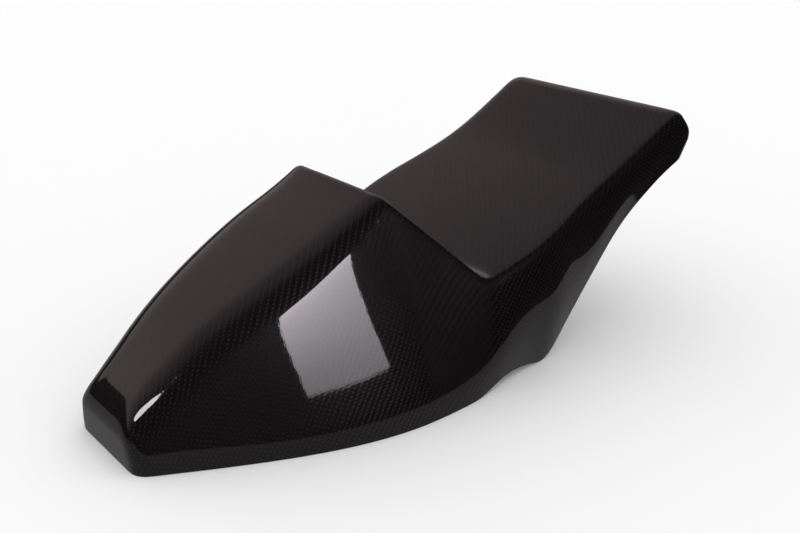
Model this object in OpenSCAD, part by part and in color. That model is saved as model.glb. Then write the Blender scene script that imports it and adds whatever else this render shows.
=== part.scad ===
// Motorcycle tail fairing: one moulded carbon shell, open underneath, with a seat pan, a hump behind
// it and side skirts that end in two horns. It stands as it lies on a bench, on the trimmed edge of
// the tail and on the two horn tips, so the seat pan climbs towards the nose.
// The nose points to -Y, the tail to +Y, and the origin is at floor level under half the length.
// In the guides, "along" is measured forward from the rear wall, "out" from the middle plane to
// either side and "up" from the floor.

/* [Laminate] */
// Thickness of the moulded laminate
wall = 2.4; // [1.6:0.1:3.6]

/* [Trimmed edge] */
// Length over the floor, from the rear wall to the front of the nose
overall_l = 656; // [650:1:680]
// Width of the rear wall between its sharp plan corners
tail_w = 116; // [100:1:130]
// Angle between the sides and the length where they leave the rear wall
tail_flare = 26; // [20:0.5:32]
// Distance over which the plan corners beside the rear wall are rounded
tail_corner_r = 12; // [8:1:20]
// Greatest width, across the sides of the hump
bulge_w = 295; // [275:1:315]
// Rear wall to the greatest width
bulge_l = 262; // [235:1:280]
// Height of the shallow arch between the tail and a horn
arch_h = 11; // [6:1:16]
// Rear wall to the top of the arch
arch_l = 380; // [370:1:395]
// Rear wall to the tips of the horns
horn_l = 442; // [430:1:455]
// Width over the horn tips
horn_w = 244; // [225:1:265]
// Slope of the front edge of a horn, from the floor
horn_rise = 53; // [48:1:58]
// Height of the trimmed edge at the nose
nose_trim_h = 196; // [190:1:204]

/* [Hump] */
// Rear wall to the crest of the hump
crest_l = 266; // [256:1:276]
// Height of the crest above the floor
crest_h = 210; // [200:1:222]
// Width of the hump's top across the crest
crest_w = 148; // [132:1:156]
// Greatest width of the hump's top
hump_w = 156; // [140:1:170]
// Rounding of the crest
crest_r = 7; // [4:1:12]
// Slope of the face between the crest and the seat pan, from the floor
face_slope = 47; // [42:1:54]
// Rounding between the hump's top and its sides
hump_edge_r = 22; // [14:1:28]

/* [Seat pan] */
// Height at which the seat pan meets the face of the hump
foot_h = 119; // [110:1:128]
// Size of the fillet there
foot_r = 16; // [8:1:26]
// Height of the seat pan at its front edge
seat_nose_h = 250; // [243:1:256]
// Width of the seat pan at its narrowest
waist_w = 233; // [225:1:250]
// Width of the seat pan at the nose
nose_w = 258; // [245:1:275]
// Rounding of the seat pan's long edges
seat_edge_r = 11; // [6:1:16]
// Distance over which the plan corners of the nose are rounded
nose_corner_r = 15; // [10:1:24]
// How far the front wall of the nose swells out past the seat pan's front edge
nose_swell = 16; // [11:0.5:22]

/* [Rim] */
// Height of the rear wall, up to where it turns over into the hump
rear_h = 32; // [26:1:36]
// Height of the upright rim along the sides of the tail
rim_h = 17; // [13:1:22]
// Height of the rim at the greatest width
bulge_rim_h = 25; // [20:1:32]
// How far the rear wall's trimmed edge is tucked in under its top
tail_tuck = 1.8; // [0:0.1:4]
// Inward lean of the rim
rim_lean = 1; // [0:0.5:5]
// Outward lean of the skirt just above a horn tip
horn_lean = 13; // [6:1:16]

/* [Hidden] */
seat_l = overall_l - nose_swell;
foot_l = crest_l + (crest_h - foot_h)/tan(face_slope);

// Guides. Each knot is [along, value, slope], and a smooth cubic joins one knot to the next.
// The trimmed edge in plan: it narrows along the skirt, then runs outside the seat pan's edge
skirt_l = 360;
skirt_out = 138.5;
skirt_taper = -0.17;
horn_taper = -0.1;
waist_l = 530;
waist_flare = 5;
nose_tuck = 2;
nose_spread = 0.04;
trim_out = [[0, tail_w/2, tan(tail_flare)], [bulge_l, bulge_w/2, 0], [skirt_l, skirt_out, skirt_taper],
    [horn_l, horn_w/2, horn_taper], [waist_l, waist_w/2 + waist_flare, 0],
    [overall_l, nose_w/2 - nose_tuck, nose_spread]];

// The trimmed edge in height: flat on the tail, the arch, the round tip of a horn, the horn's front
// edge and, past its bend, the way up to the nose
tail_flat_l = 324;
horn_heel_l = 7;
horn_heel_h = 1.3;
horn_heel_slope = -0.27;
horn_tip_l = 16;
horn_tip_slope = 0.6;
horn_front_l = 98;
horn_front_h = 114.7;
horn_front_slope = 1.2;
throat_l = 600;
throat_h = 166;
throat_slope = 0.72;
nose_trim_slope = 0.42;
trim_up = [[tail_flat_l, 0, 0], [arch_l, arch_h, 0], [horn_l - horn_heel_l, horn_heel_h, horn_heel_slope],
    [horn_l, 0, 0], [horn_l + horn_tip_l, horn_tip_l*horn_tip_slope, tan(horn_rise)],
    [horn_l + horn_front_l, horn_front_h, horn_front_slope], [throat_l, throat_h, throat_slope],
    [overall_l, nose_trim_h, nose_trim_slope]];

// The head of the side, in plan: the line in which the side would meet the top
tail_head_w = 84;
tail_head_slope = 0.22;
hump_w_l = 210;
crest_spread = -0.07;
seat_foot_l = 352;
seat_foot_w = 189;
seat_foot_slope = 0.64;
seat_rear_l = 410;
seat_rear_w = 255;
seat_inset = 4;
nose_inset = 3;
side_out = [[0, tail_head_w/2, tail_head_slope], [hump_w_l, hump_w/2, 0],
    [crest_l, crest_w/2, crest_spread], [seat_foot_l, seat_foot_w/2, seat_foot_slope],
    [seat_rear_l, seat_rear_w/2, 0], [waist_l, waist_w/2 - seat_inset, 0],
    [overall_l, nose_w/2 - nose_inset, nose_spread]];

// The hump's top along the middle, on from where the rear wall has turned over
brow_h = 41;
brow_slope = 1.2;
low_hump_l = 25;
low_hump_h = 67;
low_hump_slope = 0.85;
mid_hump_l = 91;
mid_hump_h = 118;
mid_hump_slope = 0.6;
high_hump_l = 183;
high_hump_h = 168;
high_hump_slope = 0.52;
crest_slope = 0.6;
hump_up = [[0, brow_h, brow_slope], [low_hump_l, low_hump_h, low_hump_slope],
    [mid_hump_l, mid_hump_h, mid_hump_slope], [high_hump_l, high_hump_h, high_hump_slope],
    [crest_l, crest_h, crest_slope]];
// The head of the side, in height: over the hump's top and well above the seat pan
face_head_l = 340;
face_head_h = 228;
nose_head_h = 300;
nose_head_slope = 0.2;
head_up = concat(hump_up, [[face_head_l, face_head_h, 0], [overall_l, nose_head_h, nose_head_slope]]);
// The seat pan along the middle, which steepens towards the nose
seat_slope = 0.4;
seat_bend_l = 513;
seat_bend_h = 184;
seat_nose_slope = 0.55;
seat_up = [[foot_l, foot_h, seat_slope], [seat_bend_l, seat_bend_h, seat_slope],
    [seat_l, seat_nose_h, seat_nose_slope]];

// Height of the rim's upper bend over the trimmed edge
horn_rim_rise = 3;
even_rim_l = 110;
rim_growth = 0.02;
rim_up = [[0, rim_h, 0], [even_rim_l, rim_h, 0], [bulge_l, bulge_rim_h, rim_growth],
    [horn_l, bulge_rim_h + horn_rim_rise, 0]];
// Inward lean of the rim, of the side just above it and of the side's head, in degrees
nose_lean = -10;
even_lean_l = 250;
lean_up = [[0, rim_lean, 0], [even_lean_l, rim_lean, 0], [horn_l, -horn_lean, 0],
    [overall_l, nose_lean, 0]];
tail_foot_lean = 10;
hump_foot_lean = 17;
skirt_lean_l = 390;
skirt_lean = -7;
skirt_lean_slope = -0.1;
foot_lean = [[0, tail_foot_lean, 0], [even_rim_l, hump_foot_lean, 0], [crest_l, hump_foot_lean, 0],
    [skirt_lean_l, skirt_lean, skirt_lean_slope], [horn_l, -horn_lean, 0], [overall_l, nose_lean, 0]];
tail_head_lean = 32;
hump_head_l = 150;
hump_head_lean = 38;
crest_head_lean = 32;
face_lean_l = 330;
face_head_lean = 28;
seat_lean_l = 400;
seat_head_lean = 17;
nose_head_lean = 10;
head_lean = [[0, tail_head_lean, 0], [hump_head_l, hump_head_lean, 0], [crest_l, crest_head_lean, 0],
    [face_lean_l, face_head_lean, 0], [seat_lean_l, seat_head_lean, 0], [overall_l, nose_head_lean, 0]];
// Rounding of the edge between the side and the top
tail_edge_share = 0.7;
face_edge_r = 9;
face_edge_l = 25;
full_edge_l = 80;
edge_fade_l = 46;
edge_r = [[0, hump_edge_r*tail_edge_share, 0], [full_edge_l, hump_edge_r, 0],
    [crest_l - edge_fade_l, hump_edge_r, 0], [crest_l + face_edge_l, face_edge_r, 0],
    [overall_l, seat_edge_r, 0]];

function cubic(a, b, x) = let (h = b[0] - a[0], s = (x - a[0])/h)
    a[1]*(1 - 3*s^2 + 2*s^3) + b[1]*(3*s^2 - 2*s^3) + h*(a[2]*(s - 2*s^2 + s^3) + b[2]*(s^3 - s^2));
// Value of a guide at x, straight on past its ends
function at(knots, x, i = 0) = x <= knots[0][0] ? knots[0][1] + (x - knots[0][0])*knots[0][2]
    : i + 1 == len(knots) ? knots[i][1] + (x - knots[i][0])*knots[i][2]
    : x <= knots[i + 1][0] ? cubic(knots[i], knots[i + 1], x) : at(knots, x, i + 1);
// The lower and the higher of two values, rounded over where they meet
function lower(a, b, r) = min(a, b) - max(r - abs(a - b), 0)^2/(4*r);
function higher(a, b, r) = max(a, b) + max(r - abs(a - b), 0)^2/(4*r);
function mix(a, b, t) = a + (b - a)*t;
function bezier(p, t) = len(p) == 1 ? p[0]
    : bezier([for (i = [0:len(p) - 2]) mix(p[i], p[i + 1], t)], t);
function unit(v) = v/norm(v);
function clamp(t) = min(max(t, 0), 1);

// Height of the top: hump, face and seat pan in one line along the middle
function top_up(u) = higher(lower(at(hump_up, u), crest_h - (u - crest_l)*tan(face_slope), crest_r),
    u < crest_l ? 0 : at(seat_up, u), foot_r);

rim_share = 0.45;
side_belly = 0.36;
// Section of the side at u, as [out, up] points: the trimmed edge, then a curve from the rim's
// upper bend to the line in which the side would meet the top
function trim(u) = [at(trim_out, u), max(at(trim_up, u), 0)];
function rim_top(u) = let (t = trim(u), h = min(at(rim_up, u), (top_up(u) - t[1])*rim_share))
    t + h*[-tan(at(lean_up, u)), 1];
function side(u) = let (r = rim_top(u), v = [at(side_out, u), at(head_up, u)], l = norm(v - r)*side_belly,
    a = at(foot_lean, u), b = at(head_lean, u))
    [r, r + l*[-sin(a), cos(a)], v + l*[sin(b), -cos(b)], v];
// Place on the side's curve at which it reaches the height z
function reach(curve, z, lo = 0, hi = 1, n = 18) = n == 0 ? (lo + hi)/2
    : let (m = (lo + hi)/2) bezier(curve, m)[1] < z ? reach(curve, z, m, hi, n - 1)
    : reach(curve, z, lo, m, n - 1);

edge_pull = 0.6;
small = 0.01;
// Levels of a column of points: up the rim, up the side and over the rounded edge
rim_n = 2;
side_n = 7;
edge_n = 4;
levels = rim_n + side_n + edge_n + 1;
top = levels - 1;
function column(u) = let (c = side(u), z = top_up(u), tz = reach(c, z), k = bezier(c, tz),
    r = min(at(edge_r, u), k[0]*edge_pull), tb = reach(c, z - r), b = bezier(c, tb),
    d = unit(bezier(c, tb + small) - b), a = [k[0] - r, z], w = norm(k - b)*edge_pull)
    concat([for (i = [0:rim_n - 1]) mix(trim(u), c[0], i/rim_n)],
        [for (i = [0:side_n - 1]) bezier(c, tb*i/side_n)],
        [for (i = [0:edge_n]) bezier([b, b + d*w, a + [edge_pull*r, 0], a], i/edge_n)]);

// Lines up the middle of the rear wall and of the nose's front wall, as [along, up] points
wall_n = rim_n + side_n;
function over(wall_curve, corner, end) = let (b = wall_curve[len(wall_curve) - 1])
    concat([for (i = [0:wall_n - 1]) bezier(wall_curve, i/wall_n)],
        [for (i = [0:edge_n])
            bezier([b, mix(b, corner, edge_pull), mix(end, corner, edge_pull), end], i/edge_n)]);
tail_top = 16;
brow_in = 1.5;
brow_rise = 14;
tail_brow = [brow_in, rear_h + brow_rise];
tail_line = over([[tail_tuck, 0], [0, rear_h]], tail_brow, [tail_top, at(hump_up, tail_top)]);
seat_front = [seat_l, at(seat_up, seat_l)];
nose_top_share = 1.4;
nose_top = seat_l - seat_edge_r*nose_top_share;
nose_foot_share = 0.5;
nose_wall_share = 0.94;
nose_wall_h = 16;
nose_edge_out = 3;
nose_sketch = over([[seat_l + nose_swell*nose_foot_share, nose_trim_h],
    [seat_l + nose_swell*nose_wall_share, nose_trim_h + nose_wall_h],
    seat_front + [nose_edge_out, -seat_edge_r]], seat_front, [nose_top, at(seat_up, nose_top)]);
nose_brow = nose_sketch[wall_n][0];
nose_stretch = (overall_l - nose_brow)/(max([for (p = nose_sketch) p[0]]) - nose_brow);
nose_line = [for (p = nose_sketch)
    [p[0] > nose_brow ? nose_brow + (p[0] - nose_brow)*nose_stretch : p[0], p[1]]];

// Places of the columns along the side, closer where the top bends. Each level starts and ends
// where the walls of the tail and the nose have it, and the columns between follow
function run(a, b, n) = [for (i = [0:n - 1]) mix(a, b, i/n)];
bend = 12;
hump_n = 15;
crest_n = 8;
face_n = 4;
foot_n = 9;
waist_n = 5;
seat_n = 14;
tail_fade = 90;
last_u = overall_l - nose_corner_r;
along = concat(run(tail_corner_r, crest_l - bend, hump_n), run(crest_l - bend, crest_l + bend, crest_n),
    run(crest_l + bend, foot_l - 2*bend, face_n), run(foot_l - 2*bend, foot_l + 2*bend, foot_n),
    run(foot_l + 2*bend, horn_l, waist_n), run(horn_l, last_u, seat_n), [last_u]);
function place(u, j) = u + tail_line[j][0]*(1 - clamp((u - tail_corner_r)/tail_fade))^2
    - (overall_l - nose_line[j][0])*clamp((u - horn_l)/(last_u - horn_l))^2;
function side_point(u, j) = let (q = place(u, j), p = column(q)[j]) [p[0], q, p[1]];

// Half a level, from the middle of the rear wall round one side to the middle of the nose
end_n = 4;
corner_n = 4;
corner_share = 0.5;
function corner(j, a, b, end, r) = let (k = a[0] + (a[0] - b[0])*(end[0] - a[1])/(a[1] - b[1]))
    [[k - r, end[0], end[1]], [k, end[0], mix(end[1], a[2], corner_share*(1 - j/top))], a];
function level(j) = let (s = [for (u = along) side_point(u, j)], n = len(s) - 1,
    t = corner(j, s[0], s[1], tail_line[j], tail_corner_r),
    f = corner(j, s[n], s[n - 1], nose_line[j], nose_corner_r))
    concat([for (i = [0:end_n - 1]) [t[0][0]*i/end_n, t[0][1], t[0][2]]],
        [for (i = [0:corner_n - 1]) bezier(t, i/corner_n)], s,
        [for (i = [1:corner_n]) bezier(f, 1 - i/corner_n)],
        [for (i = [1:end_n]) [f[0][0]*(1 - i/end_n), f[0][1], f[0][2]]]);
ring = [for (j = [0:levels - 1]) level(j)];
half_n = len(ring[0]);
rows = half_n - 1 - 2*end_n;

// The top is a grid of rows across, from the rear wall's row to the nose's
function cap(r, c) = r <= 0 ? ring[top][abs(c)] : r >= rows ? ring[top][half_n - 1 - abs(c)]
    : let (p = ring[top][end_n + r]) [p[0]*abs(c)/end_n, p[1], p[2]];
function flip(p) = [-p[0], p[1], p[2]];
function walk(j, h) = h < 0 ? flip(ring[j][-h])
    : h >= half_n ? flip(ring[j][2*half_n - 2 - h]) : ring[j][h];
function inner_next(h) = h < end_n ? cap(1, h) : h > half_n - 1 - end_n ? cap(rows - 1, half_n - 1 - h)
    : cap(min(max(h - end_n, 1), rows - 1), end_n - 1);
function ring_normal(j, h) = let (a = walk(j, h + 1) - walk(j, h - 1),
    b = (j == top ? inner_next(h) : ring[j + 1][h]) - ring[max(j - 1, 0)][h], n = unit(cross(a, b)))
    j == 0 ? unit([n[0], n[1], 0]) : n;
function cap_normal(r, c) = let (a = cap(r, c + 1) - (c == 0 ? flip(cap(r, 1)) : cap(r, c - 1)),
    b = cap(r + 1, c) - cap(r - 1, c)) unit(cross(a, b));
function skin_ring(j, h, inset) = ring[j][h] - inset*ring_normal(j, h);
function skin_cap(r, c, inset) = cap(r, c) - inset*cap_normal(r, c);

// Points of one skin, the outer one or the one a wall's thickness inside it
function to_xyz(p) = [-p[0], overall_l/2 - p[1], p[2]];
function skin(inset) = [
    for (j = [0:top]) let (q = [for (h = [0:half_n - 1]) skin_ring(j, h, inset)])
        each concat([for (h = [0:half_n - 1]) to_xyz(q[h])],
            [for (h = [half_n - 2:-1:1]) to_xyz(flip(q[h]))]),
    for (r = [1:rows - 1]) let (q = [for (c = [0:end_n - 1]) skin_cap(r, c, inset)])
        each [for (c = [1 - end_n:end_n - 1]) to_xyz(c < 0 ? flip(q[-c]) : q[c])]];
loop_n = 2*half_n - 2;
cap_n = 2*end_n - 1;
function on_loop(h, c) = c >= 0 || h == 0 || h == half_n - 1 ? h : loop_n - h;
function ring_id(j, i) = j*loop_n + i % loop_n;
function cap_id(r, c) = r == 0 ? ring_id(top, on_loop(abs(c), c))
    : r == rows ? ring_id(top, on_loop(half_n - 1 - abs(c), c))
    : abs(c) == end_n ? ring_id(top, on_loop(end_n + r, c))
    : levels*loop_n + (r - 1)*cap_n + c + end_n - 1;
function quad(p, a, b, c, d) = norm(p[a] - p[c]) < norm(p[b] - p[d]) + small
    ? [[a, b, c], [a, c, d]] : [[a, b, d], [b, c, d]];
function skin_faces(p) = [
    for (j = [0:top - 1]) for (i = [0:loop_n - 1])
        each quad(p, ring_id(j, i), ring_id(j + 1, i), ring_id(j + 1, i + 1), ring_id(j, i + 1)),
    for (r = [0:rows - 1]) for (c = [-end_n:end_n - 1])
        each quad(p, cap_id(r, c), cap_id(r + 1, c), cap_id(r + 1, c + 1), cap_id(r, c + 1))];

module tail_shell() {
    outer = skin(0);
    inner = skin(wall);
    faces = skin_faces(outer);
    m = len(outer);
    edge = [for (i = [0:loop_n - 1]) let (k = (i + 1) % loop_n) each [[i, k, k + m], [i, k + m, i + m]]];
    color("#2b2627") polyhedron(concat(outer, inner),
        concat(faces, [for (f = faces) [f[2] + m, f[1] + m, f[0] + m]], edge));
}

tail_shell();
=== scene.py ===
"""Looks of a motorcycle tail fairing: one shell of woven carbon under a clear gloss coat, lying on a
pale bench under soft studio light. The nose is at -Y, the tail at +Y, and the near side at -X."""

import math

import bpy
import numpy as np
from mathutils import Matrix, Quaternion, Vector


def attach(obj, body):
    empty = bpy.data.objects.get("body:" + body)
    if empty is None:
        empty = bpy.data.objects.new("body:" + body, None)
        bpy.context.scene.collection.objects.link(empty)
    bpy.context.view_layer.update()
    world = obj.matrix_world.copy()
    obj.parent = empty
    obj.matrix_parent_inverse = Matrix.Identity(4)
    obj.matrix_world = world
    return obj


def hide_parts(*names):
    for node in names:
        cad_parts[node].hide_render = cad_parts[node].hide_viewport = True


MM = 0.001
TOW = 2.35 * MM  # width of one tow of the cloth, so that the ribs of the twill lie 6.6 mm apart
ORANGE_PEEL = 9 * MM  # slow waves of a sprayed clear coat
GRIT = 0.8 * MM  # sanding marks on the cut edge, drawn coarser than real ones, which are too fine to show
WANDERS_PER_M = 14.0  # slow bends of the tows along the cloth
WEAVE_DEPTH = 0.12 * MM  # relief of the cloth under the coat
PEEL_DEPTH = 0.05 * MM  # relief of the orange peel
PRINT_DEPTH = 0.03 * MM  # how far the weave shows through as relief of the coat
PLY_DEPTH = 0.2 * MM  # relief of the bare cloth inside
CHAMFER = 0.35 * MM  # what a file takes off the cut edge
MERGE = 0.01 * MM  # vertices nearer than this are one
SHARP = 62  # degrees between the faces at the cut edge, at least
SLICE = 4 * MM  # from one cross section of the shell to the next, when the cloth is laid
TOP_STRIP = 12 * MM  # half width of the strip in which a section's top is looked for
REACH = 150  # degrees from straight up to the lowest edge of a side, seen from the hollow
RAYS = 91  # directions in which a section is measured
FIRST_SLICE = 3 * MM  # from the end of the shell to the first section
WALL_FROM = 0.3  # the rear and front walls lie at least this far from the middle
WALL_FACING = 0.8  # the share of a wall's normal that runs along the bike, at least


def linear(code):
    """An sRGB colour such as "2b2627" as a linear one with full opacity."""
    parts = [int(code[i : i + 2], 16) / 255 for i in (0, 2, 4)]
    return [p / 12.92 if p <= 0.04045 else ((p + 0.055) / 1.055) ** 2.4 for p in parts] + [1.0]


def node(tree, kind, settings=None, inputs=None):
    """Adds a node and returns its first output in use. Settings are its own properties. Inputs are
    named by their label or by their order among those in use, and each is joined to an output or
    given a value."""
    made = tree.nodes.new("ShaderNode" + kind)
    for name, value in (settings or {}).items():
        setattr(made, name, value)
    sockets = [s for s in made.inputs if s.enabled]
    for name, value in (inputs or {}).items():
        socket = sockets[name] if isinstance(name, int) else made.inputs[name]
        if isinstance(value, bpy.types.NodeSocket):
            tree.links.new(value, socket)
        else:
            socket.default_value = value
    return next((s for s in made.outputs if s.enabled), None)


def material(name):
    """A new material with an empty tree, its shader and its output."""
    made = bpy.data.materials.new(name)
    made.use_nodes = True
    made.node_tree.nodes.clear()
    closure = node(made.node_tree, "BsdfPrincipled")
    node(made.node_tree, "OutputMaterial", None, {"Surface": closure})
    return made, made.node_tree, closure.node


def only(piece):
    """Selects one piece and nothing else."""
    bpy.ops.object.select_all(action="DESELECT")
    bpy.context.view_layer.objects.active = piece
    piece.select_set(True)


HOLLOW_Y = [-0.33, -0.2, -0.05, 0.03, 0.1, 0.25, 0.33]
HOLLOW_Z = [0.19, 0.12, 0.075, 0.08, 0.09, 0.045, 0.01]
HOLLOW_END = 0.3  # the line through the hollow ends this far from the middle


def hollow_height(y):
    """Height at y of a line that runs through the hollow, under the middle of the top."""
    return np.interp(y, HOLLOW_Y, HOLLOW_Z)


def hollow_side(place, normal):
    """Above 0 where a normal points away from the hollow, below 0 where it points into it."""
    y = np.clip(place[:, 1], -HOLLOW_END, HOLLOW_END)
    centre = np.stack([np.zeros(len(y)), y, hollow_height(place[:, 1])], 1)
    return ((place - centre) * normal).sum(1)


def read(things, what, width):
    """A property of all of a mesh's vertices, faces or corners as one array."""
    values = np.zeros(len(things) * width, np.int32 if what == "vertex_index" else np.float32)
    things.foreach_get(what, values)
    return values.reshape(-1, width) if width > 1 else values


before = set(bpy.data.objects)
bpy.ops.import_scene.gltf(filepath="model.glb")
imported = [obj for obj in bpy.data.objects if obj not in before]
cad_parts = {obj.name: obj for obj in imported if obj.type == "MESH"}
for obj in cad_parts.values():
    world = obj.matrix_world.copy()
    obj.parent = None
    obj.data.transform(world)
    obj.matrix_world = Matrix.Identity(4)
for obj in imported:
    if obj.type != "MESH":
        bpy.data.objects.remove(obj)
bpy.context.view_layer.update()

# The moulded skin, from the CAD node: its triangles are merged into a net of four-sided faces, its cut
# edge gets the small chamfer that a file leaves, and the net is smoothed
shell = bpy.data.objects.new("carbon_shell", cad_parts["tail_shell"].data.copy())
bpy.context.scene.collection.objects.link(shell)
shell.data.materials.clear()
only(shell)
bpy.ops.object.mode_set(mode="EDIT")
bpy.ops.mesh.select_all(action="SELECT")
bpy.ops.mesh.remove_doubles(threshold=MERGE)
bpy.ops.mesh.tris_convert_to_quads(face_threshold=math.radians(50), shape_threshold=math.radians(80))
bpy.ops.object.mode_set(mode="OBJECT")

GLOSS, BARE, CUT = 0, 1, 2
outside = hollow_side(read(shell.data.vertices, "co", 3), read(shell.data.vertices, "normal", 3)) > 0
for face in shell.data.polygons:
    kinds = {bool(outside[v]) for v in face.vertices}
    face.material_index = CUT if len(kinds) == 2 else GLOSS if True in kinds else BARE

bpy.ops.object.mode_set(mode="EDIT")
bpy.ops.mesh.select_mode(type="EDGE")
bpy.ops.mesh.select_all(action="DESELECT")
bpy.ops.mesh.edges_select_sharp(sharpness=math.radians(SHARP))
bpy.ops.mesh.bevel(offset=CHAMFER, segments=2, affect="EDGES")
bpy.ops.object.mode_set(mode="OBJECT")
smooth = shell.modifiers.new("smooth", "SUBSURF")
smooth.levels = smooth.render_levels = 2
bpy.ops.object.modifier_apply(modifier="smooth")
bpy.ops.object.shade_smooth()


def lay_cloth(piece):
    """Gives the shell a map in real metres that follows its cloth: U forwards along the middle of the
    top, and V outwards from the middle over the top and down a side, so that the weave is one cloth.
    On the rear and front walls the cloth hangs straight down."""
    mesh = piece.data
    co = read(mesh.vertices, "co", 3).astype(float)
    ends = np.array([e.vertices[:] for e in mesh.edges])
    p, q = co[ends[:, 0]], co[ends[:, 1]]
    places = np.arange(co[:, 1].min() + FIRST_SLICE, co[:, 1].max() - MM, SLICE)
    angles = np.linspace(0, math.radians(REACH), RAYS)
    widths, tops = [], []
    for y in places:
        cut = (p[:, 1] - y) * (q[:, 1] - y) < 0
        share = ((y - p[cut, 1]) / (q[cut, 1] - p[cut, 1]))[:, None]
        points = p[cut] + (q[cut] - p[cut]) * share
        tops.append(points[abs(points[:, 0]) < TOP_STRIP, 2].max())
        points = points[points[:, 0] <= 0]
        x, z = -points[:, 0], points[:, 2] - hollow_height(y)
        angle, reach = np.arctan2(x, z), np.hypot(x, z)
        bins = np.clip((angle / angles[1] + 0.5).astype(int), 0, len(angles) - 1)
        radius = np.full(len(angles), np.nan)
        for k in np.unique(bins):
            radius[k] = reach[bins == k].max()
        found = ~np.isnan(radius)
        radius = np.interp(angles, angles[found], radius[found])
        radius = np.convolve(np.pad(radius, 2, mode="edge"), [0.1, 0.2, 0.4, 0.2, 0.1], mode="valid")
        steps = np.hypot(np.diff(radius * np.sin(angles)), np.diff(radius * np.cos(angles)))
        widths.append(np.concatenate([[0], np.cumsum(steps)]))
    widths = np.array(widths)
    along = np.concatenate([[0], np.cumsum(np.hypot(np.diff(places), np.diff(tops)))])

    u = np.interp(co[:, 1], places, along)
    angle = np.arctan2(abs(co[:, 0]), co[:, 2] - hollow_height(co[:, 1]))
    row = np.clip((co[:, 1] - places[0]) / SLICE, 0, len(places) - 1.001)
    col = np.clip(angle / angles[1], 0, len(angles) - 1.001)
    r, c = row.astype(int), col.astype(int)
    fr, fc = row - r, col - c
    v = (widths[r, c] * (1 - fr) + widths[r + 1, c] * fr) * (1 - fc)
    v += (widths[r, c + 1] * (1 - fr) + widths[r + 1, c + 1] * fr) * fc
    v *= -np.sign(co[:, 0])

    corner = read(mesh.loops, "vertex_index", 1)
    facing = read(mesh.polygons, "normal", 3)
    middle = read(mesh.polygons, "center", 3)
    sizes = read(mesh.polygons, "loop_total", 1).astype(int)
    wall = (abs(facing[:, 1]) > WALL_FACING) & (abs(middle[:, 1]) > WALL_FROM)
    wall = np.repeat(wall, sizes)
    place = co[corner]
    top = np.where(place[:, 1] > 0, tops[-1], tops[0])
    hang = np.sign(place[:, 1]) * (top - place[:, 2])
    end = np.where(place[:, 1] > 0, along[-1], along[0])
    uv = np.stack([-np.where(wall, end + hang, u[corner]), np.where(wall, -place[:, 0], v[corner])], 1)
    layer = mesh.uv_layers.new(name="cloth")
    layer.data.foreach_set("uv", uv.astype(np.float32).ravel())
    mesh.uv_layers.active = layer


lay_cloth(shell)
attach(shell, "root")
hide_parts("tail_shell")


def twill(tree):
    """The 2x2 twill of the cloth: each tow goes over two and under two, one step on from its neighbour.
    Returns where a tow along the bike is on top, and the relief of the tows."""
    uv = node(tree, "UVMap", {"uv_map": "cloth"})
    drawn = {"Vector": uv, "Scale": WANDERS_PER_M, "Detail": 1.0}
    drift = node(tree, "TexNoise", {"noise_dimensions": "2D"}, drawn)
    wander = node(tree, "MapRange", None, {"Value": drift, "To Min": -0.55, "To Max": 0.55})
    split = node(tree, "SeparateXYZ", None, {0: uv}).node.outputs
    u = node(tree, "Math", {"operation": "MULTIPLY_ADD"}, {0: split[0], 1: 1 / TOW, 2: wander})
    v = node(tree, "Math", {"operation": "MULTIPLY_ADD"}, {0: split[1], 1: 1 / TOW, 2: wander})
    cell_u = node(tree, "Math", {"operation": "FLOOR"}, {0: u})
    cell_v = node(tree, "Math", {"operation": "FLOOR"}, {0: v})
    cells = node(tree, "Math", {"operation": "ADD"}, {0: cell_u, 1: cell_v})
    step = node(tree, "Math", {"operation": "FLOORED_MODULO"}, {0: cells, 1: 4.0})
    along = node(tree, "Math", {"operation": "LESS_THAN"}, {0: step, 1: 1.5})
    part_u = node(tree, "Math", {"operation": "FRACT"}, {0: u})
    part_v = node(tree, "Math", {"operation": "FRACT"}, {0: v})
    length_part = node(tree, "Mix", None, {0: along, 1: part_v, 2: part_u})
    width_part = node(tree, "Mix", None, {0: along, 1: part_u, 2: part_v})
    second = node(tree, "Math", {"operation": "FLOORED_MODULO"}, {0: step, 1: 2.0})
    float_at = node(tree, "Math", {"operation": "ADD"}, {0: second, 1: length_part})
    quarter = node(tree, "Math", {"operation": "MULTIPLY"}, {0: float_at, 1: math.pi / 2})
    arch = node(tree, "Math", {"operation": "SINE"}, {0: quarter})
    half = node(tree, "Math", {"operation": "MULTIPLY"}, {0: width_part, 1: math.pi})
    crown = node(tree, "Math", {"operation": "SINE"}, {0: half})
    raised = node(tree, "MapRange", None, {"Value": arch, "To Min": 0.4, "To Max": 1.0})
    relief = node(tree, "Math", {"operation": "MULTIPLY"}, {0: raised, 1: crown})
    return along, relief


# Woven carbon in epoxy under a clear gloss coat: the cloth is nearly black, with a painted glint, a pale
# highlight painted into its colour, on the crown of each tow. It shines across its filaments, so that
# tows along and across the bike differ, and weakly, as the epoxy round them bends light as much as the
# coat does. That difference is also painted into the colour as a painted sheen: tows along the bike are
# lighter.
# The smooth coat mirrors the room
gloss, tree, shader = material("clearcoated_twill_carbon")
along, relief = twill(tree)
# Painted sheen: tows along the bike are given a lighter colour than those across it
painted_tow_sheen = node(tree, "Mix", {"data_type": "RGBA"}, {0: along, 1: linear("151112"), 2: linear("272122")})
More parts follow.
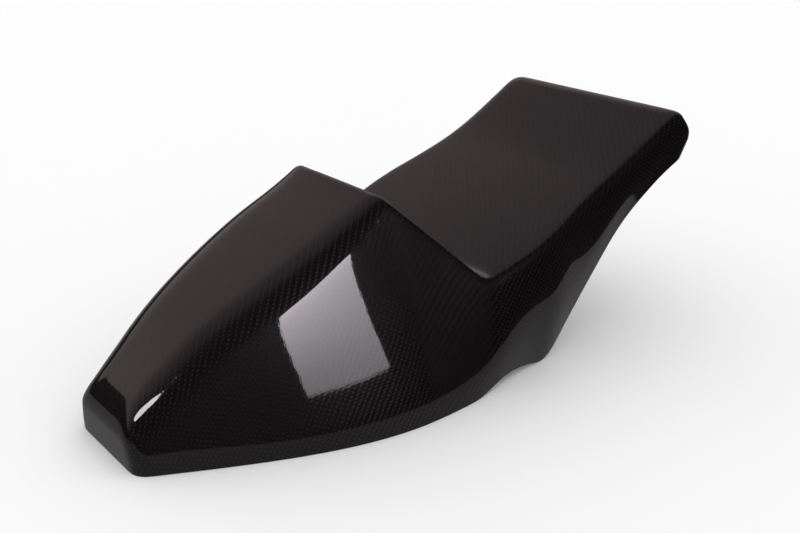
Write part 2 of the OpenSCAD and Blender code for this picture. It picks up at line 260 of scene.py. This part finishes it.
# Painted highlight: the crown of each tow takes the lighter tow colour as a painted glint, and between
# crowns the cloth stays dark
crown = node(tree, "MapRange", None, {"Value": relief, "From Min": 0.66, "To Max": 1.0})
painted_glint_colour = node(tree, "Mix", {"data_type": "RGBA"}, {0: crown, 1: linear("080506"), 2: painted_tow_sheen})
tree.links.new(painted_glint_colour, shader.inputs["Base Color"])
shader.inputs["Roughness"].default_value = 0.42
shader.inputs["Specular IOR Level"].default_value = 0.06
shader.inputs["Anisotropic"].default_value = 0.75
turn = node(tree, "Math", {"operation": "MULTIPLY"}, {0: along, 1: 0.25})
tree.links.new(turn, shader.inputs["Anisotropic Rotation"])
grain = node(tree, "Tangent", {"direction_type": "UV_MAP", "uv_map": "cloth"})
tree.links.new(grain, shader.inputs["Tangent"])
weave = node(tree, "Bump", None, {"Strength": 0.4, "Distance": WEAVE_DEPTH, "Height": relief})
tree.links.new(weave, shader.inputs["Normal"])
shader.inputs["Coat Weight"].default_value = 1.0
shader.inputs["Coat Roughness"].default_value = 0.03
shader.inputs["Coat IOR"].default_value = 1.5
place = node(tree, "TexCoord").node.outputs["Object"]
waves = {"Vector": place, "Scale": 1 / ORANGE_PEEL, "Detail": 2.0, "Roughness": 0.45}
peel = node(tree, "TexNoise", None, waves)
sprayed = node(tree, "Bump", None, {"Strength": 0.35, "Distance": PEEL_DEPTH, "Height": peel})
ghost = {"Strength": 0.12, "Distance": PRINT_DEPTH, "Height": relief, "Normal": sprayed}
printed = node(tree, "Bump", None, ghost)
tree.links.new(printed, shader.inputs["Coat Normal"])

# The same cloth inside the mould: bare epoxy with no coat, rough from the peel ply and duller. Its tows
# along the bike are painted lighter than those across it, a painted sheen
bare, tree, shader = material("bare_carbon_laminate")
along, relief = twill(tree)
# Painted sheen: the lighter colour goes to the tows along the bike
painted_tow_sheen = node(tree, "Mix", {"data_type": "RGBA"}, {0: along, 1: linear("1a1718"), 2: linear("262223")})
tree.links.new(painted_tow_sheen, shader.inputs["Base Color"])
shader.inputs["Roughness"].default_value = 0.55
weave = node(tree, "Bump", None, {"Strength": 0.7, "Distance": PLY_DEPTH, "Height": relief})
tree.links.new(weave, shader.inputs["Normal"])

# The sawn and sanded edge of the laminate: dull, with fine grit in it
cut_edge, tree, shader = material("sanded_laminate_edge")
place = node(tree, "TexCoord").node.outputs["Object"]
grit = node(tree, "TexNoise", None, {"Vector": place, "Scale": 1 / GRIT, "Detail": 3.0})
dust = node(tree, "Mix", {"data_type": "RGBA"}, {0: grit, 1: linear("161314"), 2: linear("34302f")})
tree.links.new(dust, shader.inputs["Base Color"])
shader.inputs["Roughness"].default_value = 0.6

for made in (gloss, bare, cut_edge):
    shell.data.materials.append(made)

# The bench, in matt white paint with no shine of its own. Its edge runs 60 mm beyond the near side. The
# gloss sees a painted reflection of it: its top glows an even grey, an emission that is no lamp, standing
# in for evenly lit paint, and beyond the edge a dark grey glow stands in for the dark room. The camera
# sees it go on as a plain pale floor
BENCH_EDGE = -0.21
bpy.ops.mesh.primitive_plane_add(size=24, location=(0, 0, 0))
floor = bpy.context.object
floor.name = "bench_top"
paint, tree, shader = material("white_painted_bench")
shader.inputs["Base Color"].default_value = linear("fdfdfd")
shader.inputs["Roughness"].default_value = 0.9
shader.inputs["Specular IOR Level"].default_value = 0.0
place = node(tree, "TexCoord").node.outputs["Object"]
across = node(tree, "SeparateXYZ", None, {0: place})
beyond = node(tree, "Math", {"operation": "LESS_THAN"}, {0: across, 1: BENCH_EDGE})
# Painted reflection: the colour the bench glows with in the gloss, grey on its top and dark grey beyond
# its edge
painted_glow_colour = node(tree, "Mix", {"data_type": "RGBA"}, {0: beyond, 1: linear("8a8888"), 2: linear("181818")})
painted_bench_glow = node(tree, "Emission", None, {"Color": painted_glow_colour})
mirrored = node(tree, "LightPath").node.outputs["Is Glossy Ray"]
seen = node(tree, "MixShader", None, {0: mirrored, 1: shader.outputs[0], 2: painted_bench_glow})
tree.links.new(seen, next(n for n in tree.nodes if n.type == "OUTPUT_MATERIAL").inputs["Surface"])
floor.data.materials.append(paint)

# The room: its plain light is white all round. The gloss mirrors a pale wall and ceiling on the far
# side, above a dark stand behind the tail, and a dark room on the camera's side
DARK_ROOM = 0.015
world = bpy.data.worlds.new("studio")
bpy.context.scene.world = world
world.use_nodes = True
tree = world.node_tree
tree.nodes.clear()
way = node(tree, "TexCoord").node.outputs["Generated"]
split = node(tree, "SeparateXYZ", None, {0: way}).node.outputs
soft = {"interpolation_type": "SMOOTHSTEP"}
back = node(tree, "MapRange", soft, {"Value": split[0], "From Min": -0.05, "From Max": 0.45})
behind_tail = {"Value": split[1], "From Min": 0.39, "From Max": 0.42, "To Max": 0.14}
stand = node(tree, "MapRange", soft, behind_tail)
clear = node(tree, "Math", {"operation": "SUBTRACT"}, {0: split[2], 1: stand})
high = node(tree, "MapRange", soft, {"Value": clear, "From Min": 0.19, "From Max": 0.23})
both = node(tree, "Math", {"operation": "MULTIPLY"}, {0: back, 1: high})
wall_to_ceiling = {"From Min": 0.4, "From Max": 0.72, "To Min": 0.6, "To Max": 0.28}
ceiling = node(tree, "MapRange", None, {"Value": split[2], **wall_to_ceiling})
lit = node(tree, "Mix", None, {0: both, 1: DARK_ROOM, 2: ceiling})
mirrored = node(tree, "LightPath").node.outputs["Is Glossy Ray"]
strength = node(tree, "Mix", None, {0: mirrored, 1: 1.0, 2: lit})
tint = node(tree, "Mix", {"data_type": "RGBA"}, {0: mirrored, 1: linear("ffffff"), 2: linear("ffeaec")})
room = node(tree, "Background", None, {"Color": tint, "Strength": strength})
node(tree, "OutputWorld", None, {"Surface": room})


def softbox(name, shape, place, target, width, height, roll, power, low=1.0, high=1.0):
    """An area lamp that faces a point and is turned by the angle roll about that line. Its glow goes from
    low at its lower edge to high at its upper one. It shows as a highlight only: the plain light on the
    cloth and the bench comes from the room."""
    lamp = bpy.data.lights.new(name, "AREA")
    lamp.shape = shape
    lamp.size, lamp.size_y = width, height
    lamp.energy = power
    lamp.use_nodes = True
    tree = lamp.node_tree
    tree.nodes.clear()
    over = node(tree, "NewGeometry").node.outputs["Parametric"]
    height_share = node(tree, "SeparateXYZ", None, {0: over}).node.outputs[1]
    strength = node(tree, "MapRange", None, {"Value": height_share, "To Min": low, "To Max": high})
    glow = node(tree, "Emission", None, {"Color": linear("fff7fd"), "Strength": strength})
    node(tree, "OutputLight", None, {"Surface": glow})
    made = bpy.data.objects.new(name, lamp)
    bpy.context.scene.collection.objects.link(made)
    made.location = place
    facing = (Vector(place) - Vector(target)).to_track_quat("Z", "Y")
    made.rotation_euler = (facing @ Quaternion((0, 0, 1), math.radians(roll))).to_euler()
    made.visible_camera = False
    made.visible_diffuse = False


# Both were placed so that the gloss mirrors them where the photograph has its highlights
side = (-0.644, 0.179, 0.34)
flank = (-0.123, 0.392, 0.132)
tall = {"width": 0.402, "height": 0.58, "roll": 7.4, "power": 3.9, "low": 0.6, "high": 2.1}
softbox("side_softbox", "RECTANGLE", side, flank, **tall)
behind = (-0.076, 1.307, 0.882)
tail = (-0.05, 0.3, 0.06)
softbox("tail_softbox", "ELLIPSE", behind, tail, width=0.3, height=0.135, roll=0, power=1.5)

# The camera, solved from the photograph's perspective
lens = bpy.data.cameras.new("camera")
lens.lens = 47.25
lens.sensor_width = 36
camera = bpy.data.objects.new("camera", lens)
bpy.context.scene.collection.objects.link(camera)
camera.matrix_world = Matrix(
    (
        (-0.62446, 0.28978, -0.7253, -0.81496),
        (-0.78106, -0.23168, 0.5799, 0.63499),
        (0.0, 0.92863, 0.3710, 0.51280),
        (0, 0, 0, 1),
    )
)
bpy.context.scene.camera = camera
bpy.context.scene.view_settings.view_transform = "Standard"
